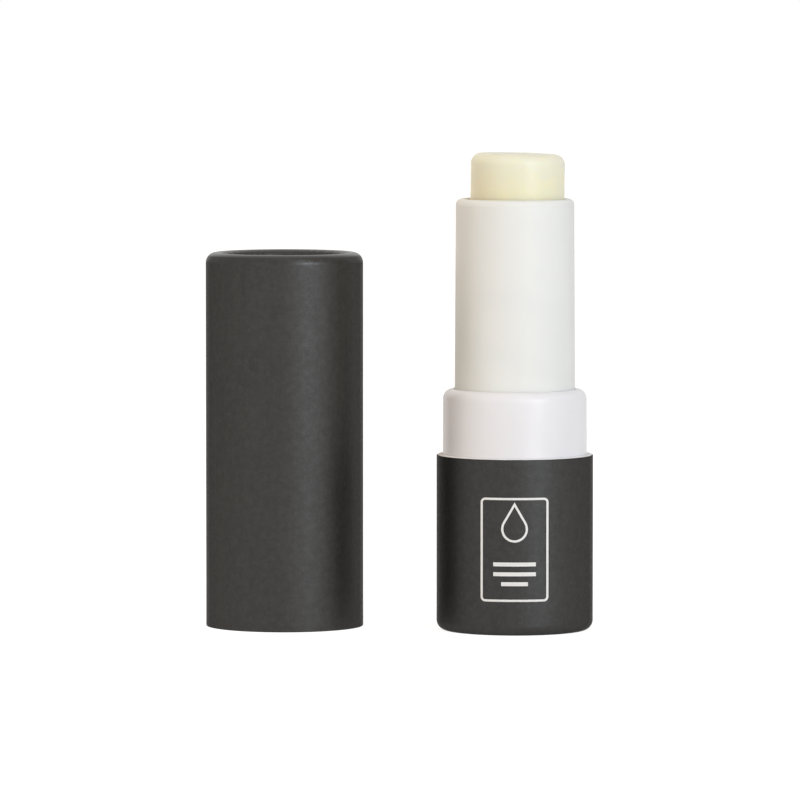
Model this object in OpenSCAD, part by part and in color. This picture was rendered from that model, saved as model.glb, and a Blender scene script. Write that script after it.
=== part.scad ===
// Lip balm in a round paper tube, with its cap taken off and standing beside it.
// The origin lies on the table, in the middle of the footprint of the two.
// +X is to the right, +Y to the back.

/* [Set] */
// How far the cap stands to the left of the tube, from axis to axis
cap_left = 29.5; // [24:0.1:45]
// How far the cap stands behind the tube, from axis to axis
cap_behind = 5.4; // [0:0.2:20]

/* [Balm] */
// Diameter of the balm stick
balm_d = 12.08; // [11:0.02:13]
// Length of the balm stick
balm_len = 42; // [36:0.1:50]
// Rounding of the balm's top edge
balm_edge = 1.4; // [0.6:0.1:2]
// Lean of the balm to the right, in degrees
balm_lean = 0.5; // [0:0.1:0.5]
// Gap round the balm in its cup
balm_fit = 0.11; // [0.1:0.01:0.2]
// How deep the balm's top lies under the mouth when it is wound right down
balm_sunk = 0.55; // [0.2:0.05:2]

/* [Cup] */
// Height of the cup
cup_h = 11; // [8:0.5:14]
// Wall of the cup
cup_wall = 0.33; // [0.3:0.01:0.6]
// Floor of the cup
cup_floor = 1; // [0.6:0.1:1.6]
// Free height under the cup when it is wound right down
cup_room = 6.95; // [5:0.05:10]
// Number of ribs that hold the balm in the cup
rib_count = 4; // [2:1:6]
// Width of a rib
rib_w = 0.6; // [0.4:0.05:1]
// How far a rib stands into the cup
rib_depth = 0.6; // [0.3:0.05:1]
// Height of a rib above the floor
rib_h = 6; // [3:0.5:8]
// Gap round a rib in the balm
rib_fit = 0.1; // [0.05:0.01:0.2]

/* [Screw] */
// Diameter of the two driving lugs
lug_d = 1.6; // [1.2:0.05:2]
// Height of the lugs' centre above the cup's underside
lug_up = 2; // [1.4:0.1:4]
// Rise of the balm in one full turn
lead = 15; // [12:0.5:18]
// Turn from wound right down to the height shown, in degrees
turn_shown = 150; // [0:10:300]
// Turn from wound right down to wound right up, in degrees
turn_full = 690; // [400:10:720]
// Depth of the helical grooves
groove_depth = 0.35; // [0.3:0.01:0.45]
// Gap on each side of a lug in its groove and its slot
lug_gap = 0.2; // [0.15:0.01:0.3]
// Gap between a lug's tip and the root of its groove
lug_tip_gap = 0.1; // [0.05:0.01:0.15]

/* [Guide and sleeve] */
// Gap between the cup and the guide tube
cup_fit = 0.07; // [0.04:0.01:0.1]
// Wall of the guide tube
guide_wall = 0.35; // [0.3:0.01:0.6]
// Thickness of the guide tube's foot
guide_foot_t = 1.2; // [0.8:0.1:2]
// Gap between the guide tube and the sleeve
guide_fit = 0.07; // [0.04:0.01:0.1]
// Wall of the sleeve at the collar
sleeve_wall = 0.72; // [0.65:0.01:1]
// How much slimmer the sleeve's radius is at its top
sleeve_draft = 0.13; // [0:0.01:0.2]
// Thickness of the sleeve's foot
sleeve_foot_t = 1; // [0.6:0.1:1.6]
// How far the feet of the guide and the sleeve stand out from the sleeve
foot_out = 0.41; // [0.3:0.01:0.6]
// Thickness of the sleeve's inward lip
lip_t = 0.8; // [0.6:0.05:1.2]
// Gap round the balm in the sleeve's mouth
mouth_gap = 0.46; // [0.4:0.01:0.5]
// Rounding of the mouth's outer edge
mouth_edge = 0.75; // [0.3:0.05:0.8]
// Rounding of the mouth's inner edge
mouth_inner_edge = 0.25; // [0.1:0.05:0.25]
// Play along the axis between turning faces
end_play = 0.1; // [0.05:0.01:0.2]

/* [Collar] */
// Gap between the sleeve and the collar
collar_fit = 0.09; // [0.05:0.01:0.1]
// Wall of the collar
collar_wall = 1.44; // [1.2:0.01:2]
// Height of the collar's neck above the base
neck_h = 8.45; // [6:0.05:12]
// Gap between the neck and the cap's bore
neck_gap = 0.04; // [0.02:0.01:0.15]
// Depth of the relief groove between the neck and the insert
relief_depth = 0.2; // [0.1:0.05:0.4]
// How far the relief groove reaches below the base's edge
relief_below = 0.55; // [0.5:0.05:1]
// How far the relief groove reaches above the base's edge
relief_above = 0.06; // [0.02:0.01:0.2]
// Rounding of the collar's shoulder
shoulder_edge = 1.2; // [0.5:0.1:1.2]
// Rounding of the edge at the collar's bore
collar_bore_edge = 0.15; // [0.05:0.01:0.2]

/* [Paper tubes] */
// Height of the base
base_h = 22.4; // [18:0.1:27]
// Free height in the closed cap above the sleeve
cap_room = 11.9; // [2:0.1:16]
// Thickness of the white board
board_t = 0.6; // [0.45:0.05:0.8]
// Thickness of the black paper round the base
wrap_t = 0.14; // [0.1:0.01:0.2]
// Thickness of the charcoal paper round the cap
cap_wrap_t = 0.24; // [0.1:0.01:0.3]
// Thickness of the glue lines
glue_t = 0.02; // [0.01:0.01:0.03]
// Radius of the rolled bead
bead_r = 1.3; // [1.1:0.05:1.6]
// Depth of the flat that the base stands on
foot_flat = 0.03; // [0.02:0.01:0.06]
// Thickness of the end discs
disc_t = 0.8; // [0.5:0.1:1.2]
// Rounding of the papers' cut edges
cut_edge = 0.1; // [0.04:0.01:0.1]

/* [Print] */
// Width of the printed frame
print_w = 8.6; // [6:0.1:12]
// Height of the printed frame
print_h = 13.2; // [10:0.1:14]
// Height of the print's centre above the table
print_z = 11; // [9:0.1:13]
// Turn of the print round the tube, in degrees
print_turn = -1; // [-10:1:10]
// Width of the frame's line
print_line = 0.28; // [0.2:0.02:0.5]
// Rounding of the frame's corners
print_corner = 0.6; // [0.5:0.05:1]
// Radius of the printed drop
drop_r = 1.7; // [1:0.1:2]
// Height of a printed bar
bar_h = 0.5; // [0.3:0.05:0.7]
// Distance from one bar to the next
bar_step = 1.25; // [0.9:0.05:1.3]
// Thickness of the ink
ink_t = 0.05; // [0.03:0.01:0.08]

/* [Hidden] */
$fn = 96;
// Overshoot of a cut past the face that it cuts
over = 0.5;

// Radii, from the balm outwards
balm_r = balm_d / 2;
cup_in = balm_r + balm_fit;
cup_out = cup_in + cup_wall;
guide_in = cup_out + cup_fit;
guide_out = guide_in + guide_wall;
sleeve_in = guide_out + guide_fit;
sleeve_out = sleeve_in + sleeve_wall;
sleeve_top_r = sleeve_out - sleeve_draft;
mouth_r = balm_r + mouth_gap;
groove_r = sleeve_in + groove_depth;
foot_r = sleeve_out + foot_out;
collar_in = sleeve_out + collar_fit;
collar_out = collar_in + collar_wall;
tube_in = collar_out + glue_t;
neck_r = tube_in - neck_gap;
board_r = tube_in + board_t;
tube_r = board_r + glue_t + wrap_t;
cap_r = board_r + glue_t + cap_wrap_t;
// What keeps the origin in the middle of the two, though the cap is a little wider
shift = (cap_r - tube_r) / 2;

// Heights, from the table upwards
disc_z = 2 * bead_r - foot_flat + glue_t;
floor_z = disc_z + disc_t + glue_t;
guide_foot_top = floor_z + guide_foot_t;
sleeve_z = guide_foot_top + end_play;
sleeve_foot_top = sleeve_z + sleeve_foot_t;
ledge_z = sleeve_foot_top + end_play;
crest_z = base_h + neck_h;
rise_shown = lead * turn_shown / 360;
rise_full = lead * turn_full / 360;
cup_low = guide_foot_top + cup_room;
cup_z = cup_low + rise_shown;
balm_z = cup_z + cup_floor;
sleeve_top = cup_low + cup_floor + balm_len + balm_sunk;
guide_top = sleeve_top - lip_t - end_play;
lug_low = cup_low + lug_up;
lug_high = lug_low + rise_full;
lug_z = cup_z + lug_up;
cap_disc_z = sleeve_top - base_h + cap_room;
cap_h = cap_disc_z + disc_t + glue_t + 2 * bead_r;

// Screw
lug_tip = groove_r - lug_tip_gap;
slot_w = lug_d + 2 * lug_gap;
groove_mid_r = (sleeve_in + groove_r) / 2;
groove_slope = atan(lead / (2 * PI * groove_mid_r));
groove_half_angle = 90 / PI * slot_w / sin(groove_slope) / groove_mid_r;
groove_from = sleeve_z - over;
groove_to = lug_high + slot_w / 2;
// Direction of the first lug, and the turn of one flat step of a groove, in degrees
lug_at = 90;
groove_step = 12;

// Print
ink_in = tube_r + glue_t / 2;
drop_z = print_h * 0.2;
drop_step = 10;
bar_top = -print_h * 0.14;
bar_widths = [5.4, 5.4, 3.4];

module at_tube() {
    translate([cap_left / 2 + shift, -cap_behind / 2 - shift, 0]) children();
}

module at_cap() {
    translate([shift - cap_left / 2, cap_behind / 2 - shift, 0]) children();
}

// A ring of rectangular section
module ring(r_in, r_out, z_from, z_to) {
    rotate_extrude() translate([r_in, z_from]) square([r_out - r_in, z_to - z_from]);
}

// What rounding takes off a corner at [x, z]; sx and sz say to which sides the corner points
module corner_cut(x, z, r, sx, sz) {
    translate([x - sx * r, z - sz * r]) scale([sx, sz]) difference() {
        square(r + over);
        circle(r);
    }
}

// Section of one paper layer: a wall whose lower end is rolled inwards into a bead
module rolled_section(r_out, t, bead, top) {
    mid = r_out - bead;
    translate([mid, bead]) difference() {
        circle(bead);
        circle(bead - t);
        square(bead + over);
    }
    translate([mid + bead - t, bead]) square([t, top - bead]);
}

// The white board, rolled end down; z is the lowest point of the paper round it
module board_layer(top, paper_t) {
    inset = paper_t + glue_t;
    rotate_extrude() translate([0, inset]) rolled_section(board_r, board_t, bead_r - inset, top - inset);
}

// The paper, rolled end down
module wrap_layer(top, r_out, paper_t) {
    rotate_extrude() difference() {
        rolled_section(r_out, paper_t, bead_r, top);
        corner_cut(r_out, top, cut_edge, 1, 1);
    }
}

module base_tube() {
    color("white") at_tube() translate([0, 0, -foot_flat]) board_layer(base_h + foot_flat, wrap_t);
}

module base_wrap() {
    color("#2e2d2b") at_tube() difference() {
        translate([0, 0, -foot_flat]) wrap_layer(base_h + foot_flat, tube_r, wrap_t);
        translate([0, 0, -over]) cylinder(r = tube_r + over, h = over);
    }
}

module base_disc() {
    color("#2e2d2b") at_tube() ring(0, tube_in - glue_t, disc_z, disc_z + disc_t);
}

module rounded_panel(w, h, r) {
    difference() {
        square([w, h], center = true);
        for (sx = [-1, 1], sy = [-1, 1]) corner_cut(sx * w / 2, sy * h / 2, r, sx, sy);
    }
}

// A drop with its tip up; its straight sides leave the circle at 30 degrees
module drop(r) {
    polygon(concat([[0, 2 * r]], [for (a = [150 : drop_step : 390]) r * [cos(a), sin(a)]]));
}

module print_design() {
    difference() {
        rounded_panel(print_w, print_h, print_corner);
        rounded_panel(print_w - 2 * print_line, print_h - 2 * print_line, print_corner - print_line);
    }
    translate([0, drop_z]) difference() {
        drop(drop_r);
        drop(drop_r - print_line);
    }
    for (i = [0 : len(bar_widths) - 1])
        translate([0, bar_top - i * bar_step]) square([bar_widths[i], bar_h], center = true);
}

module front_print() {
    color("white") at_tube() rotate([0, 0, print_turn]) intersection() {
        ring(ink_in, ink_in + ink_t, print_z - print_h, print_z + print_h);
        translate([0, 0, print_z]) rotate([90, 0, 0]) linear_extrude(tube_r + over) print_design();
    }
}

module collar() {
    color("#ebe7ea") at_tube() rotate_extrude() difference() {
        translate([collar_in, floor_z]) square([collar_wall, crest_z - floor_z]);
        translate([neck_r, base_h]) square([over, neck_h + over]);
        translate([neck_r - relief_depth, base_h - relief_below])
            square([relief_depth + over, relief_below + relief_above]);
        translate([collar_in - over, floor_z - over])
            square([foot_r + collar_fit - collar_in + over, ledge_z - floor_z + over]);
        corner_cut(neck_r, crest_z, shoulder_edge, 1, 1);
        corner_cut(collar_in, crest_z, collar_bore_edge, -1, 1);
    }
}

module guide_tube() {
    color("#f2f1ec") at_tube() difference() {
        union() {
            ring(guide_in, guide_out, floor_z, guide_top);
            ring(guide_in, foot_r, floor_z, guide_foot_top);
        }
        translate([-slot_w / 2, -guide_out - over, lug_low])
            cube([slot_w, 2 * (guide_out + over), lug_high - lug_low]);
        for (z = [lug_low, lug_high]) translate([0, 0, z]) rotate([90, 0, 0])
            cylinder(d = slot_w, h = 2 * (guide_out + over), center = true);
    }
}

// Section of one groove across the axis, open to the bore; its root is cut round by helical_grooves()
module groove_section() {
    a = groove_half_angle;
    inner = sleeve_in - over;
    outer = (groove_r + over) / cos(a);
    low = [cos(a), -sin(a)];
    high = [cos(a), sin(a)];
    polygon([inner * low, outer * low, outer * high, inner * high]);
}

module helical_grooves() {
    h = groove_to - groove_from;
    start = lug_at + 360 * (lug_z - groove_from) / lead;
    turn = 360 * h / lead;
    intersection() {
        translate([0, 0, groove_from - over]) cylinder(r = groove_r, h = h + 2 * over);
        for (side = [0, 180]) translate([0, 0, groove_from]) rotate([0, 0, start + side])
            linear_extrude(height = h, twist = turn, slices = ceil(turn / groove_step), $fn = 4)
                groove_section();
    }
}

module sleeve_section() {
    difference() {
        union() {
            polygon([[sleeve_in, sleeve_z], [sleeve_out, sleeve_z], [sleeve_out, crest_z],
                     [sleeve_top_r, sleeve_top], [sleeve_in, sleeve_top]]);
            translate([sleeve_in, sleeve_z]) square([foot_r - sleeve_in, sleeve_foot_t]);
            translate([mouth_r, sleeve_top - lip_t]) square([sleeve_top_r - mouth_r - sleeve_draft, lip_t]);
        }
        corner_cut(sleeve_top_r, sleeve_top, mouth_edge, 1, 1);
        corner_cut(mouth_r, sleeve_top, mouth_inner_edge, -1, 1);
    }
}

module spiral_sleeve() {
    color("#eae9e4") at_tube() difference() {
        rotate_extrude() sleeve_section();
        helical_grooves();
    }
}

// The ribs that stand out from the cup's wall; grow widens them to the slots in the balm
module ribs(h, grow) {
    for (i = [0 : rib_count - 1]) rotate([0, 0, (i + 0.5) * 360 / rib_count])
        translate([cup_in - rib_depth - grow, -rib_w / 2 - grow, 0])
            cube([rib_depth + grow + cup_wall / 2, rib_w + 2 * grow, h + grow]);
}

module cup() {
    color("#f2f1ec") at_tube() translate([0, 0, cup_z]) {
        ring(0, cup_out, 0, cup_floor);
        ring(cup_in, cup_out, 0, cup_h);
        translate([0, 0, cup_floor / 2]) ribs(rib_h + cup_floor / 2, 0);
        intersection() {
            translate([0, 0, lug_up]) rotate([90, 0, 0])
                cylinder(d = lug_d, h = 2 * groove_r, center = true);
            ring(cup_in + cup_wall / 2, lug_tip, 0, cup_h);
        }
    }
}

module balm() {
    color("#ece8cf") at_tube() translate([0, 0, balm_z]) difference() {
        rotate([0, balm_lean, 0]) rotate_extrude() difference() {
            translate([0, -over]) square([balm_r, balm_len + over]);
            corner_cut(balm_r, balm_len, balm_edge, 1, 1);
        }
        translate([0, 0, -2 * over]) cylinder(r = cup_out + over, h = 2 * over);
        translate([0, 0, -over]) ribs(rib_h + over, rib_fit);
    }
}

module cap_tube() {
    color("white") at_cap() translate([0, 0, cap_h]) mirror([0, 0, 1]) board_layer(cap_h, cap_wrap_t);
}

module cap_wrap() {
    color("#3e3b37") at_cap() translate([0, 0, cap_h]) mirror([0, 0, 1]) wrap_layer(cap_h, cap_r, cap_wrap_t);
}

module cap_disc() {
    color("#3e3b37") at_cap() ring(0, tube_in - glue_t, cap_disc_z, cap_disc_z + disc_t);
}

base_tube();
base_wrap();
base_disc();
front_print();
collar();
guide_tube();
spiral_sleeve();
cup();
balm();
cap_tube();
cap_wrap();
cap_disc();
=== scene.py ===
"""Looks of a twist-up lip balm in a round paper tube, with its cap taken off and standing beside it.

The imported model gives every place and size. The turned pieces are made here as finer meshes: the paper
and board layers with their rolled beads, the collar and the balm. The screw sleeve is a smooth copy of the
model's mesh. The guide tube, the cup, the end discs and the print keep the model's own meshes and get a finish.
"""
import logging
import math
from dataclasses import dataclass, field
from enum import Enum

import bmesh
import bpy
from mathutils import Matrix, Vector


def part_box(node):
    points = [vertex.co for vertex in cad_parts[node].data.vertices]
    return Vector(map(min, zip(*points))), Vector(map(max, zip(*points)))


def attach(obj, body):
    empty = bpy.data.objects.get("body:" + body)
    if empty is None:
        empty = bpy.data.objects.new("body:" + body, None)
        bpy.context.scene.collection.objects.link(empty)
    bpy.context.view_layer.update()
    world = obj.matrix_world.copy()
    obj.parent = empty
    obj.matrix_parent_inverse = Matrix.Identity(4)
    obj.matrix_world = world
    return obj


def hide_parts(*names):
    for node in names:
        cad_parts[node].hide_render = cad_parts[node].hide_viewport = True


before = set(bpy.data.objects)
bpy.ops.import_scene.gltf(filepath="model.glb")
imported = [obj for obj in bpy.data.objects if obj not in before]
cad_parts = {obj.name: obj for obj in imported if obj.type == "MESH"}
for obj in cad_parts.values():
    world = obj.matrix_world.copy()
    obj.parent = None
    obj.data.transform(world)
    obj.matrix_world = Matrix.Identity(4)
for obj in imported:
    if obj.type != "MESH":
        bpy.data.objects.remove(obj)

log = logging.getLogger("lip_balm")

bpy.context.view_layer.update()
MM = 0.001
WELD = 1e-7
NOISE_LOW, NOISE_HIGH = 0.3, 0.7
Colour = tuple[float, float, float]
WHITE: Colour = (1.0, 1.0, 1.0)


# Node graphs

class NodeGraph:
    """A node tree under construction, with short calls for the nodes that both kinds of tree use."""

    def __init__(self, tree: bpy.types.NodeTree) -> None:
        """Keeps the tree to build in.

        Args:
            tree: An empty node tree.
        """
        self.tree = tree

    def feed(self, socket: bpy.types.NodeSocket, value: object) -> None:
        """Links a socket to another one, or sets its value.

        Args:
            socket: The input to fill.
            value: An output socket, or a plain value.
        """
        if isinstance(value, bpy.types.NodeSocket):
            self.tree.links.new(value, socket)
        else:
            socket.default_value = value

    def add(self, kind: str, inputs: dict[str | int, object] | None = None, **settings: object) -> bpy.types.Node:
        """Adds a node.

        Args:
            kind: The node's type name.
            inputs: Values or sockets for its inputs, by name or number.
            **settings: The node's own properties.

        Returns:
            The new node.
        """
        node = self.tree.nodes.new(kind)
        for key, value in settings.items():
            setattr(node, key, value)
        for name, value in (inputs or {}).items():
            self.feed(node.inputs[name], value)
        return node

    def math(self, operation: str, *values: object) -> bpy.types.NodeSocket:
        """Adds a Math node.

        Args:
            operation: The node's operation, such as "ADD".
            *values: Its one to three inputs.

        Returns:
            The result's socket.
        """
        node = self.add("ShaderNodeMath", operation=operation)
        for socket, value in zip(node.inputs, values):
            self.feed(socket, value)
        return node.outputs[0]

    def ease(self, value: object, low: object, high: object, start: object = 0.0, end: object = 1.0
             ) -> bpy.types.NodeSocket:
        """Maps a value from one range to another with soft ends, clamped.

        Args:
            value: What to map.
            low: Where the change starts.
            high: Where the change ends.
            start: The result at or before low.
            end: The result at or after high.

        Returns:
            The result's socket.
        """
        node = self.add("ShaderNodeMapRange", interpolation_type="SMOOTHSTEP")
        for socket, given in zip(node.inputs, (value, low, high, start, end)):
            self.feed(socket, given)
        return node.outputs["Result"]

    def noise(self, vector: bpy.types.NodeSocket, scale: float, seed: object = 0.0, detail: float = 4.0,
              roughness: float = 0.55) -> bpy.types.NodeSocket:
        """Adds a seeded noise texture.

        Args:
            vector: Where it is sampled.
            scale: Repeats per metre.
            seed: The fourth coordinate.
            detail: Number of finer layers.
            roughness: How strong the finer layers are.

        Returns:
            The socket of its value, from 0 to 1.
        """
        node = self.add("ShaderNodeTexNoise", {"Vector": vector, "W": seed, "Scale": scale, "Detail": detail,
                                               "Roughness": roughness}, noise_dimensions="4D")
        return node.outputs[0]

    def blend(self, share: object, first: object, second: object) -> bpy.types.NodeSocket:
        """Mixes two colours.

        Args:
            share: How much of the second, from 0 to 1.
            first: A colour or a colour socket.
            second: A colour or a colour socket.

        Returns:
            The mixed colour's socket.
        """
        node = self.add("ShaderNodeMix", data_type="RGBA")
        colours = [opaque(c) if isinstance(c, tuple) else c for c in (first, second)]
        self.feed(node.inputs["Factor"], share)
        for socket, colour in zip([s for s in node.inputs if s.type == "RGBA"], colours):
            self.feed(socket, colour)
        return next(s for s in node.outputs if s.type == "RGBA")


class ShapeTree(NodeGraph):
    """A Geometry Nodes tree with named inputs, used once for each piece and then turned to a plain mesh."""

    def __init__(self, name: str) -> None:
        """Makes the empty tree.

        Args:
            name: The tree's name.
        """
        super().__init__(bpy.data.node_groups.new(name, "GeometryNodeTree"))
        self.identifiers: dict[str, str] = {}
        sockets = self.tree.interface
        sockets.new_socket("Geometry", in_out="INPUT", socket_type="NodeSocketGeometry")
        sockets.new_socket("Geometry", in_out="OUTPUT", socket_type="NodeSocketGeometry")
        self.entry = self.tree.nodes.new("NodeGroupInput")
        self.result = self.tree.nodes.new("NodeGroupOutput")

    def size(self, name: str, kind: str = "NodeSocketFloat") -> bpy.types.NodeSocket:
        """Adds a named input.

        Args:
            name: What the input is.
            kind: Its socket type.

        Returns:
            The socket that carries it in the tree.
        """
        item = self.tree.interface.new_socket(name, in_out="INPUT", socket_type=kind)
        self.identifiers[name] = item.identifier
        return self.entry.outputs[name]

    def end(self, geometry: bpy.types.NodeSocket, material: bpy.types.NodeSocket) -> None:
        """Ends the tree in Realize Instances and Set Material.

        Args:
            geometry: The finished shape.
            material: The socket that carries the material.
        """
        real = self.add("GeometryNodeRealizeInstances", {"Geometry": geometry})
        dressed = self.add("GeometryNodeSetMaterial", {"Geometry": real.outputs[0], "Material": material})
        self.feed(self.result.inputs[0], dressed.outputs[0])

    def apply(self, obj: bpy.types.Object, values: dict[str, object]) -> None:
        """Runs the tree on an object and keeps the result as its plain mesh.

        Args:
            obj: The object whose mesh enters the tree.
            values: The inputs, by name.
        """
        modifier = obj.modifiers.new("shape", "NODES")
        modifier.node_group = self.tree
        for name, value in values.items():
            modifier[self.identifiers[name]] = value
        evaluated = obj.evaluated_get(bpy.context.evaluated_depsgraph_get())
        mesh = bpy.data.meshes.new_from_object(evaluated)
        obj.modifiers.remove(modifier)
        obj.data = mesh
        mesh.name = obj.name


class ShaderTree(NodeGraph):
    """The node tree of one material, with a Principled shader at its end."""

    def __init__(self, name: str) -> None:
        """Makes the material.

        Args:
            name: The material's name.
        """
        self.material = bpy.data.materials.new(name)
        self.material.use_nodes = True
        super().__init__(self.material.node_tree)
        self.shader = self.tree.nodes["Principled BSDF"]
        self.place = self.add("ShaderNodeTexCoord").outputs["Object"]

    def set(self, **values: object) -> None:
        """Fills the shader's inputs, whose names are given with _ for a space."""
        for name, value in values.items():
            self.feed(self.shader.inputs[name.replace("_", " ")], value)

    def stretched(self, x: float, y: float, z: float) -> bpy.types.NodeSocket:
        """Returns the object's coordinates, scaled along each axis."""
        return self.add("ShaderNodeMapping", {"Vector": self.place, "Scale": (x, y, z)}).outputs[0]

    def bump(self, height: bpy.types.NodeSocket, depth: float, strength: float = 1.0) -> None:
        """Adds a bump to the shader's normal.

        Args:
            height: The pattern's height, from 0 to 1.
            depth: The real depth of the pattern in metres.
            strength: How much of it shows.
        """
        node = self.add("ShaderNodeBump", {"Height": height, "Distance": depth, "Strength": strength})
        self.feed(self.shader.inputs["Normal"], node.outputs[0])


def opaque(colour: Colour) -> tuple[float, float, float, float]:
    """Returns the colour with full alpha."""
    return (*colour, 1.0)


def scaled(colour: Colour, factor: float) -> Colour:
    """Returns the colour with each channel times factor."""
    return tuple(c * factor for c in colour)


# Finishes

@dataclass(frozen=True)
class PaperFinish:
    """Satin dark paper: fine fibres, faint upright streaks, a few pale specks, and a burnished rolled edge."""

    name: str
    shade: Colour
    speck_shade: Colour = (0.034, 0.034, 0.033)
    roughness: float = 0.48
    roughness_spread: tuple[float, float] = (0.08, 0.09)
    gloss_level: float = 0.50
    rim_gloss_level: float = 0.04
    rim_facing: tuple[float, float] = (0.08, 0.72)
    felt_change: float = 0.12
    shade_change: float = 0.28
    bead_top: float = 1.0
    bead_roughness: float = 0.32
    burnished_below: tuple[float, float] = (1.3 * MM, 0.9 * MM)
    glossy_below: tuple[float, float] = (0.45 * MM, 0.15 * MM)
    fibre_scale: float = 2600.0
    felt_scale: float = 1100.0
    streak_scale: float = 1100.0
    cloud_scale: float = 140.0
    speck_scale: float = 3400.0
    speck_share: float = 0.16
    speck_reach: tuple[float, float] = (0.12, 0.3)
    fibre_depth: float = 0.026 * MM
    seed: float = 1.0

    def near_bead(self, g: ShaderTree, below: tuple[float, float], value: object, on_bead: float
                  ) -> bpy.types.NodeSocket:
        """Changes a value on the crest of the rolled edge.

        Args:
            g: The material's tree.
            below: Where the change starts and ends, as depths below the bead's top.
            value: The value elsewhere.
            on_bead: The value at the crest.

        Returns:
            The changed value's socket.
        """
        height = g.add("ShaderNodeSeparateXYZ", {0: g.place}).outputs[2]
        return g.ease(height, self.bead_top - below[0], self.bead_top - below[1], value, on_bead)

    def speck(self, g: ShaderTree) -> bpy.types.NodeSocket:
        """Scatters specks over the paper.

        Args:
            g: The material's tree.

        Returns:
            A socket that is 1 in a speck and 0 elsewhere.
        """
        cells = g.add("ShaderNodeTexVoronoi", {"Vector": g.place, "Scale": self.speck_scale})
        draw = g.add("ShaderNodeSeparateColor", {"Color": cells.outputs["Color"]}).outputs[0]
        return g.math("MULTIPLY", g.math("LESS_THAN", draw, self.speck_share),
                      g.ease(cells.outputs["Distance"], *self.speck_reach, 1.0, 0.0))

    def material(self) -> bpy.types.Material:
        """Builds the paper's material.

        Returns:
            The material.
        """
        g = ShaderTree(self.name)
        fibres = g.noise(g.place, self.fibre_scale, self.seed, detail=5.0, roughness=0.65)
        streaks = g.noise(g.stretched(1.0, 1.0, 0.05), self.streak_scale, self.seed + 1.0, detail=3.0)
        clouds = g.noise(g.place, self.cloud_scale, self.seed + 2.0, detail=3.0)
        felt = g.noise(g.place, self.felt_scale, self.seed + 3.0, detail=4.0, roughness=0.7)
        mottle = g.math("ADD", g.math("MULTIPLY", fibres, 0.5),
                        g.math("ADD", g.math("MULTIPLY", streaks, 0.3), g.math("MULTIPLY", clouds, 0.2)))
        paper = g.blend(g.ease(mottle, NOISE_LOW, NOISE_HIGH), scaled(self.shade, 1.0 - self.shade_change),
                        scaled(self.shade, 1.0 + self.shade_change))
        facing = g.add("ShaderNodeLayerWeight", {"Blend": 0.5}).outputs["Facing"]
        rough = g.ease(fibres, 0.2, 0.8, self.roughness - self.roughness_spread[0],
                       self.roughness + self.roughness_spread[1])
        gloss = g.math("MULTIPLY", g.ease(facing, *self.rim_facing, self.gloss_level, self.rim_gloss_level),
                       g.ease(felt, NOISE_LOW, NOISE_HIGH, 1.0 - self.felt_change, 1.0 + self.felt_change))
        g.set(Base_Color=g.blend(self.speck(g), paper, self.speck_shade),
              Roughness=self.near_bead(g, self.burnished_below, rough, self.bead_roughness),
              Specular_IOR_Level=self.near_bead(g, self.glossy_below, gloss, self.gloss_level))
        g.bump(g.math("ADD", g.math("MULTIPLY", fibres, 0.7), g.math("MULTIPLY", streaks, 0.3)), self.fibre_depth)
        return g.material


@dataclass(frozen=True)
class BoardFinish:
    """White uncoated board with soft fibres."""

    name: str
    shade: Colour
    roughness: float = 0.85
    gloss_level: float = 0.2
    fibre_scale: float = 3200.0
    felt_scale: float = 700.0
    fibre_depth: float = 0.018 * MM

    def material(self) -> bpy.types.Material:
        """Builds the board's material.

        Returns:
            The material.
        """
        g = ShaderTree(self.name)
        fibres = g.noise(g.place, self.fibre_scale, 4.0, detail=6.0, roughness=0.7)
        felt = g.noise(g.stretched(1.0, 1.0, 0.3), self.felt_scale, 5.0, detail=3.0)
        shade = g.blend(g.ease(felt, NOISE_LOW, NOISE_HIGH), scaled(self.shade, 0.93), self.shade)
        g.set(Base_Color=g.blend(g.ease(fibres, 0.55, 0.75, 0.0, 0.35), shade, scaled(self.shade, 0.86)),
              Roughness=self.roughness, Specular_IOR_Level=self.gloss_level)
        g.bump(fibres, self.fibre_depth)
        return g.material


@dataclass(frozen=True)
class PlasticFinish:
    """Smooth moulded plastic that lets a little light in."""

    name: str
    shade: Colour
    roughness: float = 0.33
    gloss_level: float = 0.5
    glow: float = 0.25
    glow_depth: float = 0.9 * MM
    flow_scale: float = 210.0
    grain_scale: float = 1900.0
    grain_roughness: float = 0.04
    grain_depth: float = 0.012 * MM
    seed: float = 7.0

    def material(self) -> bpy.types.Material:
        """Builds the plastic's material.

        Returns:
            The material.
        """
        g = ShaderTree(self.name)
        flow = g.noise(g.stretched(1.0, 1.0, 0.45), self.flow_scale, self.seed, detail=2.0)
        grain = g.noise(g.place, self.grain_scale, self.seed + 1.0, detail=3.0)
        g.set(Base_Color=g.blend(g.ease(flow, NOISE_LOW, NOISE_HIGH), scaled(self.shade, 0.975), self.shade),
              Roughness=g.ease(grain, 0.25, 0.75, self.roughness - self.grain_roughness,
                               self.roughness + self.grain_roughness))
        g.set(Specular_IOR_Level=self.gloss_level, Subsurface_Weight=self.glow, Subsurface_Radius=(1.0, 0.9, 0.8),
              Subsurface_Scale=self.glow_depth)
        g.bump(g.math("ADD", g.math("MULTIPLY", flow, 0.7), g.math("MULTIPLY", grain, 0.3)), self.grain_depth)
        return g.material


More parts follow.
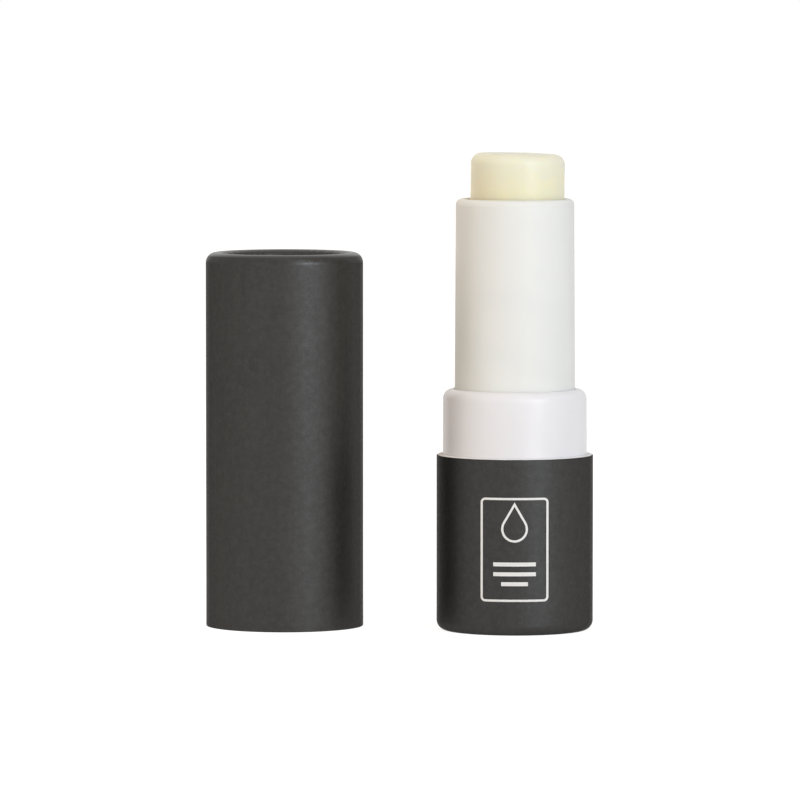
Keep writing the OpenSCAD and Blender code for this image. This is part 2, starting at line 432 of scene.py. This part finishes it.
@dataclass(frozen=True)
class WaxFinish:
    """Pale translucent wax with cloudy depth and a soft shine."""

    name: str
    shade: Colour
    deep_shade: Colour
    # Heights over which the wax turns paler upwards: partly worn wax, partly painted light.
    pale_from: float
    pale_to: float
    roughness: float = 0.34
    gloss_level: float = 0.35
    glow: float = 0.75
    glow_depth: float = 2.2 * MM
    cloud_share: float = 0.25
    cloud_scale: float = 260.0
    grain_scale: float = 1500.0
    grain_roughness: float = 0.06
    grain_depth: float = 0.02 * MM

    def material(self) -> bpy.types.Material:
        """Builds the wax's material, which is deeper in colour low down than at its top: worn whitish wax at the top
        together with painted light, the top drawn paler as if more light passed through it.

        Returns:
            The material.
        """
        g = ShaderTree(self.name)
        clouds = g.noise(g.place, self.cloud_scale, 11.0, detail=3.0)
        grain = g.noise(g.place, self.grain_scale, 12.0, detail=2.0)
        height = g.add("ShaderNodeSeparateXYZ", {0: g.place}).outputs[2]
        # Painted light together with wear: the wax is drawn paler from the sleeve's mouth to its top, as if its top
        # let more light through, and is worn whitish there.
        worn_and_lit_top = g.ease(height, self.pale_from, self.pale_to)
        worn_lit_top_and_clouds = g.math("ADD", g.math("MULTIPLY", worn_and_lit_top, 1.0 - self.cloud_share),
                       g.math("MULTIPLY", g.ease(clouds, NOISE_LOW, NOISE_HIGH), self.cloud_share))
        g.set(Base_Color=g.blend(worn_lit_top_and_clouds, self.deep_shade, self.shade), Specular_IOR_Level=self.gloss_level,
              Roughness=g.ease(grain, 0.25, 0.75, self.roughness - self.grain_roughness,
                               self.roughness + self.grain_roughness))
        g.set(Subsurface_Weight=self.glow, Subsurface_Radius=(1.0, 0.8, 0.45), Subsurface_Scale=self.glow_depth)
        g.bump(g.math("ADD", g.math("MULTIPLY", clouds, 0.9), g.math("MULTIPLY", grain, 0.1)), self.grain_depth)
        return g.material


@dataclass(frozen=True)
class InkFinish:
    """White ink on paper, slightly worn in its fibres."""

    name: str
    shade: Colour
    worn_shade: Colour
    roughness: float = 0.55
    wear_scale: float = 3400.0
    wear_range: tuple[float, float] = (0.56, 0.74)
    wear_share: float = 0.4
    wear_depth: float = 0.008 * MM

    def material(self) -> bpy.types.Material:
        """Builds the ink's material.

        Returns:
            The material.
        """
        g = ShaderTree(self.name)
        wear = g.noise(g.place, self.wear_scale, 15.0, detail=5.0, roughness=0.7)
        worn = g.ease(wear, *self.wear_range, 0.0, self.wear_share)
        g.set(Base_Color=g.blend(worn, self.shade, self.worn_shade), Roughness=self.roughness)
        g.bump(wear, self.wear_depth)
        return g.material


# Shapes

@dataclass(frozen=True)
class Axis:
    """The upright axis of a round piece."""

    x: float
    y: float

    @classmethod
    def of_node(cls, node: str) -> "Axis":
        """Returns the axis through the middle of a node's box."""
        low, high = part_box(node)
        return cls((low.x + high.x) / 2, (low.y + high.y) / 2)


@dataclass
class Section:
    """The section of a turned piece: a path of (radius, height) points in metres."""

    step: float = 0.8 * MM
    arc_step: float = 12.0
    points: list[tuple[float, float]] = field(default_factory=list)

    def go(self, r: float, z: float) -> "Section":
        """Goes straight to a point, with a new point at least every step.

        Args:
            r: The point's radius.
            z: The point's height.

        Returns:
            This section.
        """
        if self.points:
            r0, z0 = self.points[-1]
            length = math.hypot(r - r0, z - z0)
            count = max(1, math.ceil(length / self.step))
            self.points += [(r0 + (r - r0) * i / count, z0 + (z - z0) * i / count) for i in range(1, count + 1)]
        else:
            self.points.append((r, z))
        return self

    def bend(self, r: float, z: float, radius: float, start: float, end: float) -> "Section":
        """Goes along an arc.

        Args:
            r: The arc centre's radius from the axis.
            z: The arc centre's height.
            radius: The arc's own radius.
            start: Its first angle in degrees.
            end: Its last angle in degrees.

        Returns:
            This section.
        """
        count = max(2, math.ceil(abs(end - start) / self.arc_step))
        angles = [math.radians(start + (end - start) * i / count) for i in range(count + 1)]
        self.go(r + radius * math.cos(angles[0]), z + radius * math.sin(angles[0]))
        self.points += [(r + radius * math.cos(a), z + radius * math.sin(a)) for a in angles[1:]]
        return self

    def close(self) -> "Section":
        """Goes straight back to the first point."""
        return self.go(*self.points[0])

    def flipped(self, z: float) -> "Section":
        """Returns the section upside down, with z as the sum of old and new heights."""
        return Section(self.step, self.arc_step, [(r, z - height) for r, height in self.points])

    def flattened(self, floor: float) -> "Section":
        """Returns the section with nothing below floor."""
        return Section(self.step, self.arc_step, [(r, max(height, floor)) for r, height in self.points])

    def object(self, name: str) -> bpy.types.Object:
        """Makes an object of the path, as a chain of edges.

        Args:
            name: The object's name.

        Returns:
            The new object.
        """
        mesh = bpy.data.meshes.new(name)
        count = len(self.points)
        mesh.from_pydata([(r, 0.0, z) for r, z in self.points], [(i, i + 1) for i in range(count - 1)], [])
        obj = bpy.data.objects.new(name, mesh)
        bpy.context.scene.collection.objects.link(obj)
        return obj


class TurnedTree(ShapeTree):
    """Turns a section round an upright axis.

    The radius can be a little uneven, the paper can lap over itself along one upright line, and the inner
    side of a rolled bead can have small pleats.
    """

    def __init__(self) -> None:
        """Builds the tree."""
        super().__init__("turned piece")
        path = self.entry.outputs["Geometry"]
        segments = self.size("Segments", "NodeSocketInt")
        axis_x, axis_y = self.size("Axis X"), self.size("Axis Y")
        material = self.size("Material", "NodeSocketMaterial")
        count = self.add("GeometryNodeAttributeDomainSize", {"Geometry": path}).outputs["Point Count"]
        grid = self.add("GeometryNodeMeshGrid", {"Size X": 1.0, "Size Y": 1.0, "Vertices X": count,
                                                 "Vertices Y": self.math("ADD", segments, 1.0)})
        share = self.add("ShaderNodeSeparateXYZ", {0: self.add("GeometryNodeInputPosition").outputs[0]}).outputs
        last = self.math("SUBTRACT", count, 1.0)
        row = self.math("ROUND", self.math("MULTIPLY", self.math("ADD", share[0], 0.5), last))
        turn = self.math("MULTIPLY", self.math("ADD", share[1], 0.5), math.tau)
        point = self.add("GeometryNodeSampleIndex", {"Geometry": path, "Index": row,
                                                     "Value": self.add("GeometryNodeInputPosition").outputs[0]},
                         data_type="FLOAT_VECTOR", domain="POINT").outputs[0]
        section = self.add("ShaderNodeSeparateXYZ", {0: point}).outputs
        radius, height = section[0], section[2]
        cos, sin = self.math("COSINE", turn), self.math("SINE", turn)
        grown = self.math("ADD", radius, self.math("ADD", self.unevenness(cos, sin, height), self.lap(turn, radius)))
        pleat_r, pleat_z = self.pleats(cos, sin, radius, height)
        grown = self.math("ADD", grown, pleat_r)
        place = self.add("ShaderNodeCombineXYZ", {
            0: self.math("ADD", axis_x, self.math("MULTIPLY", grown, cos)),
            1: self.math("ADD", axis_y, self.math("MULTIPLY", grown, sin)),
            2: self.math("ADD", height, pleat_z)}).outputs[0]
        shaped = self.add("GeometryNodeSetPosition", {"Geometry": grid.outputs["Mesh"], "Position": place})
        joined = self.add("GeometryNodeMergeByDistance", {"Geometry": shaped.outputs[0], "Distance": WELD})
        self.end(joined.outputs[0], material)

    def unevenness(self, cos: bpy.types.NodeSocket, sin: bpy.types.NodeSocket, height: bpy.types.NodeSocket
                   ) -> bpy.types.NodeSocket:
        """Makes the piece slightly uneven, the same on both sides of a wall.

        Args:
            cos: The cosine of the place's angle round the axis.
            sin: The sine of that angle.
            height: The place's height.

        Returns:
            The seeded change of radius.
        """
        depth, wave = self.size("Unevenness"), self.size("Wave Length")
        reach, seed = self.size("Wave Radius"), self.size("Seed")
        where = self.add("ShaderNodeCombineXYZ", {
            0: self.math("DIVIDE", self.math("MULTIPLY", cos, reach), wave),
            1: self.math("DIVIDE", self.math("MULTIPLY", sin, reach), wave),
            2: self.math("DIVIDE", height, wave)}).outputs[0]
        value = self.noise(where, 1.0, seed, detail=1.0)
        return self.math("MULTIPLY", self.math("SUBTRACT", value, 0.5), self.math("MULTIPLY", depth, 2.0))

    def lap(self, turn: bpy.types.NodeSocket, radius: bpy.types.NodeSocket) -> bpy.types.NodeSocket:
        """Makes the step of the paper's lap on its outer side, which fades behind the step.

        Args:
            turn: The place's angle round the axis.
            radius: The place's radius.

        Returns:
            The change of radius.
        """
        depth, at, wide = self.size("Lap Depth"), self.size("Lap Angle"), self.size("Lap Width")
        inner, outer = self.size("Lap From Radius"), self.size("Lap To Radius")
        past = self.math("SUBTRACT", turn, at)
        rise = self.ease(past, 0.0, 0.006)
        fall = self.ease(past, self.math("MULTIPLY", wide, 0.4), wide, 1.0, 0.0)
        outside = self.ease(radius, inner, outer)
        return self.math("MULTIPLY", self.math("MULTIPLY", rise, fall), self.math("MULTIPLY", depth, outside))

    def pleats(self, cos: bpy.types.NodeSocket, sin: bpy.types.NodeSocket, radius: bpy.types.NodeSocket,
               height: bpy.types.NodeSocket) -> tuple[bpy.types.NodeSocket, bpy.types.NodeSocket]:
        """Raises pleats on the inner side of a bead.

        Args:
            cos: The cosine of the place's angle round the axis.
            sin: The sine of that angle.
            radius: The place's radius.
            height: The place's height.

        Returns:
            The changes of radius and height.
        """
        bead_at, bead_z, bead_r = self.size("Bead Middle"), self.size("Bead Height"), self.size("Bead Radius")
        depth, count, wall = self.size("Pleat Depth"), self.size("Pleats"), self.size("Wall")
        dr, dz = self.math("SUBTRACT", radius, bead_at), self.math("SUBTRACT", height, bead_z)
        squares = self.math("ADD", self.math("MULTIPLY", dr, dr), self.math("MULTIPLY", dz, dz))
        away = self.math("MAXIMUM", self.math("SQRT", squares), 1e-6)
        skin = self.ease(away, self.math("SUBTRACT", bead_r, self.math("MULTIPLY", wall, 0.7)),
                         self.math("SUBTRACT", bead_r, self.math("MULTIPLY", wall, 0.2)))
        near = self.math("LESS_THAN", away, self.math("MULTIPLY", bead_r, 1.02))
        side = self.ease(dr, self.math("MULTIPLY", bead_r, -0.1), self.math("MULTIPLY", bead_r, -0.9))
        spread = self.math("DIVIDE", count, math.tau)
        where = self.add("ShaderNodeCombineXYZ", {0: self.math("MULTIPLY", cos, spread),
                                                  1: self.math("MULTIPLY", sin, spread)}).outputs[0]
        ridge = self.ease(self.noise(where, 1.0, 3.0, detail=1.5), 0.42, 0.62)
        raised = self.math("MULTIPLY", self.math("MULTIPLY", ridge, depth),
                           self.math("MULTIPLY", self.math("MULTIPLY", skin, near), side))
        return (self.math("MULTIPLY", raised, self.math("DIVIDE", dr, away)),
                self.math("MULTIPLY", raised, self.math("DIVIDE", dz, away)))


@dataclass
class Turner:
    """Makes turned pieces with one shared tree."""

    tree: TurnedTree = field(default_factory=TurnedTree)
    wave_length: float = 9 * MM

    def make(self, name: str, section: Section, axis: Axis, material: bpy.types.Material, segments: int,
             **detail: float) -> bpy.types.Object:
        """Turns a section into a piece.

        Args:
            name: The piece's name.
            section: What is turned.
            axis: What it is turned round.
            material: The piece's finish.
            segments: Number of faces round it.
            **detail: The tree's other inputs, with _ for a space.

        Returns:
            The finished piece, at the origin and with its place in its mesh.
        """
        obj = section.object(name)
        values = {"Segments": segments, "Axis X": axis.x, "Axis Y": axis.y, "Material": material,
                  "Wave Length": self.wave_length, "Wave Radius": max(r for r, _ in section.points)}
        values.update({key.replace("_", " "): value for key, value in detail.items()})
        self.tree.apply(obj, values)
        settle_mesh(obj)
        return obj


def settle_mesh(obj: bpy.types.Object, sharp_at: float = 38.0) -> None:
    """Joins doubled points, turns faces outwards and shades them smooth between sharp edges.

    Args:
        obj: The piece.
        sharp_at: Angle in degrees past which an edge stays sharp.
    """
    shape = bmesh.new()
    shape.from_mesh(obj.data)
    bmesh.ops.remove_doubles(shape, verts=shape.verts, dist=WELD)
    bmesh.ops.recalc_face_normals(shape, faces=shape.faces)
    shape.to_mesh(obj.data)
    shape.free()
    obj.data.shade_smooth()
    obj.data.set_sharp_from_angle(angle=math.radians(sharp_at))


def place_piece(obj: bpy.types.Object, body: str, slot: str, *nodes: str) -> None:
    """Puts a finished piece on its body, in place of the nodes that it stands for.

    Args:
        obj: The piece.
        body: The body that it rides on.
        slot: Not used.
        *nodes: The nodes that it replaces.
    """
    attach(obj, body)
    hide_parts(*nodes)
    log.info("%s rides on %s, %d faces", obj.name, body, len(obj.data.polygons))


def dress_node(node: str, material: bpy.types.Material) -> None:
    """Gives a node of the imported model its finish.

    Args:
        node: The node's name.
        material: Its finish.
    """
    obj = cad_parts[node]
    for slot in obj.material_slots:
        slot.material = material
    if not obj.material_slots:
        obj.data.materials.append(material)
    log.info("%s keeps the model's mesh", node)


def smooth_copy(node: str, name: str, material: bpy.types.Material) -> bpy.types.Object:
    """Copies a node as a joined mesh with smooth shading.

    Args:
        node: The node to copy.
        name: The piece's name.
        material: The piece's finish.

    Returns:
        The piece.
    """
    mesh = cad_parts[node].data.copy()
    mesh.name = name
    mesh.materials.clear()
    mesh.materials.append(material)
    obj = bpy.data.objects.new(name, mesh)
    bpy.context.scene.collection.objects.link(obj)
    settle_mesh(obj, 25.0)
    return obj


# Sub-assemblies

class RolledEnd(Enum):
    """Which end of a paper tube is rolled inwards."""

    BOTTOM = "bottom"
    TOP = "top"


@dataclass
class PaperTube:
    """A board tube with dark paper round it and one end rolled inwards: the base or the cap."""

    body: str
    rolled: RolledEnd
    paper: PaperFinish
    paper_slot: str
    board: BoardFinish
    turner: Turner
    lap_angle: float
    bead_r: float = 1.3 * MM
    foot_flat: float = 0.03 * MM
    paper_t: float = 0.14 * MM
    board_t: float = 0.6 * MM
    glue_t: float = 0.02 * MM
    cut_edge: float = 0.1 * MM
    board_proud: float = 0.1 * MM
    lap_depth: float = 0.05 * MM
    lap_width: float = 26.0
    pleat_depth: float = 0.07 * MM
    pleats: float = 74.0
    unevenness: float = 0.008 * MM
    paper_segments: int = 384
    board_segments: int = 192

    def __post_init__(self) -> None:
        """Takes the tube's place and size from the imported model."""
        low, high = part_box(f"{self.body}_wrap")
        self.axis = Axis.of_node(f"{self.body}_wrap")
        self.radius = (high.x - low.x) / 2
        self.low, self.high = low.z, high.z

    def layer(self, radius: float, thickness: float, inset: float, edge: float, proud: float = 0.0) -> Section:
        """Draws the section of one layer, with its rolled end down.

        Args:
            radius: The layer's outer radius.
            thickness: Its thickness.
            inset: How far its bead lies inside the outer paper's.
            edge: Rounding of the cut edge's outer corner.
            proud: How far its cut edge stands past the tube's end.

        Returns:
            The closed section.
        """
        bead = self.bead_r - inset
        middle, centre = radius - bead, self.low + self.bead_r
        cut = self.high + proud
        section = Section(step=1.0 * MM, arc_step=7.5)
        section.go(radius - thickness, cut).go(radius - edge, cut)
        section.bend(radius - edge, cut - edge, edge, 90, 0)
        section.bend(middle, centre, bead, 0, -270)
        section.bend(middle, centre, bead - thickness, -270, 0)
        return section.close()

    def stand(self, section: Section) -> Section:
        """Turns a layer's section the way that this tube stands.

        Args:
            section: The section with its rolled end down, its bead's lowest point at the tube's foot.

        Returns:
            The section in its place.
        """
        if self.rolled is RolledEnd.TOP:
            return section.flipped(self.low + self.high)
        sunk = Section(section.step, section.arc_step,
                       [(r, z - self.foot_flat if z < self.low + 3 * self.bead_r else z) for r, z in section.points])
        return sunk.flattened(self.low)

    def bead_height(self) -> float:
        """Finds the bead.

        Returns:
            The height of the bead's centre.
        """
        if self.rolled is RolledEnd.TOP:
            return self.high - self.bead_r
        return self.low + self.bead_r - self.foot_flat

    def build(self) -> None:
        """Builds the paper and the board, and dresses the end disc."""
        paper = self.paper.material()
        wrap = self.turner.make(
            f"{self.body}_paper", self.stand(self.layer(self.radius, self.paper_t, 0.0, self.cut_edge)),
            self.axis, paper, self.paper_segments, Unevenness=self.unevenness, Seed=2.0,
            Lap_Depth=self.lap_depth, Lap_Angle=math.radians(self.lap_angle), Lap_Width=math.radians(self.lap_width),
            Lap_From_Radius=self.radius - 0.7 * self.paper_t, Lap_To_Radius=self.radius - 0.3 * self.paper_t,
            Bead_Middle=self.radius - self.bead_r, Bead_Height=self.bead_height(), Bead_Radius=self.bead_r,
            Pleat_Depth=self.pleat_depth, Pleats=self.pleats, Wall=self.paper_t)
        place_piece(wrap, self.body, self.paper_slot, f"{self.body}_wrap")
        inset = self.paper_t + self.glue_t
        proud = self.board_proud if self.rolled is RolledEnd.BOTTOM else 0.0
        section = self.layer(self.radius - inset, self.board_t, inset, self.cut_edge, proud)
        board = self.turner.make(f"{self.body}_board", self.stand(section), self.axis, self.board.material(),
                                 self.board_segments)
        place_piece(board, self.body, "white_board", f"{self.body}_tube")
        dress_node(f"{self.body}_disc", paper)


@dataclass
class FrontPrint:
    """The white print on the base: a frame, a drop and three bars."""

    ink: InkFinish

    def build(self) -> None:
        """Dresses the print."""
        dress_node("front_print", self.ink.material())


@dataclass
class Collar:
    """The collar that the cap is pushed on, with the insert that is glued in the base."""

    finish: PlasticFinish
    turner: Turner
    neck_inset: float = 0.01 * MM
    draft: float = 0.03 * MM
    relief_depth: float = 0.2 * MM
    relief_above: float = 0.06 * MM
    relief_below: float = 0.55 * MM
    shoulder: float = 1.25 * MM
    bore_edge: float = 0.15 * MM
    bore_gap: float = 0.09 * MM
    sleeve_foot_step: float = 0.41 * MM
    ledge: float = 2.4 * MM
    unevenness: float = 0.006 * MM
    segments: int = 288

    def build(self) -> None:
        """Builds the collar from the sleeve's and the base's sizes."""
        low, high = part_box("collar")
        axis = Axis.of_node("base_wrap")
        insert = (high.x - low.x) / 2
        sleeve_low, sleeve_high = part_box("spiral_sleeve")
        foot = (sleeve_high.x - sleeve_low.x) / 2
        bore = foot - self.sleeve_foot_step + self.bore_gap
        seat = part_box("base_wrap")[1].z
        neck, top = insert - self.neck_inset, insert - self.neck_inset - self.draft
        waist = neck - self.relief_depth
        s = Section(step=1.2 * MM, arc_step=9.0)
        s.go(foot + self.bore_gap, low.z).go(insert, low.z).go(insert, seat - self.relief_below)
        s.go(waist, seat - self.relief_below).go(waist, seat + self.relief_above).go(neck, seat + self.relief_above)
        s.bend(top - self.shoulder, high.z - self.shoulder, self.shoulder, 0, 90)
        s.bend(bore + self.bore_edge, high.z - self.bore_edge, self.bore_edge, 90, 180)
        s.go(bore, low.z + self.ledge).go(foot + self.bore_gap, low.z + self.ledge).close()
        collar = self.turner.make("collar_ring", s, axis, self.finish.material(), self.segments,
                                  Unevenness=self.unevenness, Seed=5.0)
        place_piece(collar, "base", "collar_plastic", "collar")


@dataclass
class TwistScrew:
    """The turning sleeve, the guide tube and the cup."""

    sleeve: PlasticFinish
    inner: PlasticFinish

    def build(self) -> None:
        """Makes the sleeve a smooth mesh and dresses the guide and the cup."""
        sleeve = smooth_copy("spiral_sleeve", "screw_sleeve", self.sleeve.material())
        sleeve.modifiers.new("even shading", "WEIGHTED_NORMAL").keep_sharp = True
        place_piece(sleeve, "sleeve", "sleeve_plastic", "spiral_sleeve")
        inner = self.inner.material()
        dress_node("guide_tube", inner)
        dress_node("cup", inner)


@dataclass
class BalmStick:
    """The stick of balm, which leans a little in its cup and has a slightly slanted top."""

    wax: WaxFinish
    turner: Turner
    lean: float = 0.5
    slant: float = 0.9
    slant_depth: float = 3.0 * MM
    poured_proud: float = 0.07 * MM
    edge: float = 1.3 * MM
    unevenness: float = 0.035 * MM
    wave_length: float = 4 * MM
    segments: int = 224

    def build(self) -> None:
        """Builds the stick upright, leans it, and slants its top."""
        low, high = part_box("balm")
        axis = Axis.of_node("cup")
        lean = math.radians(self.lean)
        length = (high.z - low.z) / math.cos(lean) - self.edge * math.sin(lean)
        radius = (high.y - low.y) / 2 - self.unevenness
        s = Section(step=0.7 * MM, arc_step=7.5)
        s.go(0.0, 0.0).go(radius, 0.0)
        s.bend(radius - self.edge, length - self.edge - self.unevenness, self.edge, 0, 90)
        s.go(0.0, length - self.unevenness)
        stick = self.turner.make("balm_stick", s, Axis(0.0, 0.0), self.wax.material(), self.segments,
                                 Unevenness=self.unevenness, Wave_Length=self.wave_length, Seed=9.0)
        stick.data.transform(Matrix.Translation((axis.x, axis.y, low.z)) @ Matrix.Rotation(lean, 4, "Y"))
        slope = math.tan(math.radians(self.slant))
        for vertex in stick.data.vertices:
            share = max(0.0, 1.0 - (high.z - vertex.co.z) / self.slant_depth)
            change = share * (self.poured_proud - slope * (vertex.co.x - axis.x))
            vertex.co.z = max(vertex.co.z + change, low.z)
        place_piece(stick, "stick", "balm", "balm")


# Studio

@dataclass(frozen=True)
class Softbox:
    """A soft lamp, placed by its direction as seen from the object."""

    name: str
    azimuth: float
    elevation: float
    width: float
    height: float
    radiance: float
    colour: Colour = WHITE
    distance: float = 0.55

    def build(self, target: Vector) -> None:
        """Adds the lamp.

        Args:
            target: The point that it faces.
        """
        lamp = bpy.data.lights.new(self.name, "AREA")
        lamp.shape = "RECTANGLE"
        lamp.size, lamp.size_y = self.width, self.height
        lamp.energy = self.radiance * self.width * self.height * math.pi
        lamp.color = self.colour
        turn, lift = math.radians(self.azimuth), math.radians(self.elevation)
        away = Vector((math.sin(turn) * math.cos(lift), -math.cos(turn) * math.cos(lift), math.sin(lift)))
        obj = bpy.data.objects.new(self.name, lamp)
        obj.location = target + away * self.distance
        obj.rotation_euler = away.to_track_quat("Z", "Y").to_euler()
        bpy.context.scene.collection.objects.link(obj)


@dataclass
class Studio:
    """The camera, the lamps, the white floor and the surroundings, white where they are seen."""

    focus_distance: float = 0.96
    tilt: float = 3.715
    lens: float = 338.3
    sensor: float = 36.0
    aim: tuple[float, float, float] = (0.13 * MM, -3.0 * MM, 29.39 * MM)
    floor_reach: float = 6.0
    floor_shade: Colour = (0.8, 0.8, 0.8)
    floor_seen_shade: Colour = (0.38, 0.38, 0.38)
    floor_seen_light: float = 0.88
    ambient_left: Colour = (1.11, 0.96, 0.80)
    ambient_right: Colour = (0.33, 0.31, 0.29)
    ambient_turn: tuple[float, float] = (-0.9, 0.5)
    lamp_target: tuple[float, float, float] = (0.0, 0.0, 30 * MM)
    lamps: tuple[Softbox, ...] = (Softbox("key", 35.0, 16.0, 0.20, 0.30, 7.6, (0.85, 0.92, 1.0)),
                                  Softbox("fill", -37.0, 12.0, 0.10, 0.24, 1.4, (1.0, 0.98, 0.96)),
                                  Softbox("crest", 33.0, 52.0, 0.11, 0.11, 5.6, (0.86, 0.93, 1.0)),
                                  Softbox("top", 0.0, 88.0, 0.40, 0.40, 0.23, (0.90, 0.95, 1.0)))

    def build(self) -> None:
        """Builds the whole studio."""
        self.build_camera()
        self.build_world()
        self.build_floor()
        for lamp in self.lamps:
            lamp.build(Vector(self.lamp_target))
        bpy.context.scene.view_settings.view_transform = "Standard"

    def build_camera(self) -> None:
        """Adds the camera at the photograph's viewing angle."""
        data = bpy.data.cameras.new("camera")
        data.lens, data.sensor_width = self.lens, self.sensor
        data.clip_start, data.clip_end = 0.01, 50.0
        camera = bpy.data.objects.new("camera", data)
        tilt = math.radians(self.tilt)
        back = Vector((0.0, -math.cos(tilt), math.sin(tilt)))
        camera.location = Vector(self.aim) + back * self.focus_distance
        camera.rotation_euler = (math.radians(90) - tilt, 0.0, 0.0)
        bpy.context.scene.collection.objects.link(camera)
        bpy.context.scene.camera = camera

    def seen(self, graph: NodeGraph) -> bpy.types.NodeSocket:
        """Tells the rays that show the surroundings from those that light the object.

        Args:
            graph: The tree to build in.

        Returns:
            A socket that is 1 for rays from the camera, a reflection or a clear surface.
        """
        path = graph.add("ShaderNodeLightPath").outputs
        return graph.math("MAXIMUM", path["Is Camera Ray"],
                          graph.math("MAXIMUM", path["Is Glossy Ray"], path["Is Transmission Ray"]))

    def build_world(self) -> None:
        """Makes the surroundings white where they are seen, and a soft warm to neutral light elsewhere."""
        world = bpy.data.worlds.new("surroundings")
        world.use_nodes = True
        bpy.context.scene.world = world
        g = NodeGraph(world.node_tree)
        direction = g.add("ShaderNodeTexCoord").outputs["Generated"]
        side = g.add("ShaderNodeSeparateXYZ", {0: direction}).outputs[0]
        ambient = g.blend(g.ease(side, *self.ambient_turn), self.ambient_left, self.ambient_right)
        g.feed(world.node_tree.nodes["Background"].inputs["Color"], g.blend(self.seen(g), ambient, WHITE))

    def build_floor(self) -> None:
        """Adds the floor, which is white where it is seen and keeps a soft shadow."""
        reach = self.floor_reach
        mesh = bpy.data.meshes.new("floor")
        mesh.from_pydata([(-reach, -reach, 0), (reach, -reach, 0), (reach, reach, 0), (-reach, reach, 0)], [],
                         [(0, 1, 2, 3)])
        floor = bpy.data.objects.new("floor", mesh)
        bpy.context.scene.collection.objects.link(floor)
        g = ShaderTree("white floor")
        seen = self.seen(g)
        g.set(Base_Color=g.blend(seen, self.floor_shade, self.floor_seen_shade), Roughness=0.9,
              Specular_IOR_Level=0.0, Emission_Color=opaque(WHITE),
              Emission_Strength=g.math("MULTIPLY", seen, self.floor_seen_light))
        mesh.materials.append(g.material)


def main() -> None:
    """Builds the studio and every sub-assembly, in order."""
    logging.basicConfig(level=logging.INFO, format="%(name)s: %(message)s")
    Studio().build()
    turner = Turner()
    board = BoardFinish("white board", (0.89, 0.885, 0.88))
    base_paper = PaperFinish("base paper", (0.0118, 0.0107, 0.0092))
    cap_paper = PaperFinish("cap paper", (0.0152, 0.0131, 0.0109), seed=20.0, bead_top=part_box("cap_wrap")[1].z)
    PaperTube("base", RolledEnd.BOTTOM, base_paper, "base_paper", board, turner, lap_angle=96.0).build()
    PaperTube("cap", RolledEnd.TOP, cap_paper, "cap_paper", board, turner, lap_angle=110.0,
              paper_t=0.24 * MM).build()
    FrontPrint(InkFinish("white ink", (0.78, 0.78, 0.77), (0.30, 0.29, 0.28))).build()
    Collar(PlasticFinish("collar plastic", (0.80, 0.795, 0.82)), turner).build()
    sleeve = PlasticFinish("sleeve plastic", (0.80, 0.81, 0.787), roughness=0.55, gloss_level=0.4, seed=31.0)
    inner = PlasticFinish("inner plastic", (0.82, 0.81, 0.78), roughness=0.5, seed=37.0)
    TwistScrew(sleeve, inner).build()
    mouth, balm_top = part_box("spiral_sleeve")[1].z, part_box("balm")[1].z
    # The wax gets paler from the sleeve's mouth to the balm's top: partly worn wax, partly painted light.
    wax = WaxFinish("balm wax", (0.79, 0.79, 0.665), (0.83, 0.795, 0.58), mouth, balm_top)
    BalmStick(wax, turner).build()


if __name__ == "__main__":
    main()
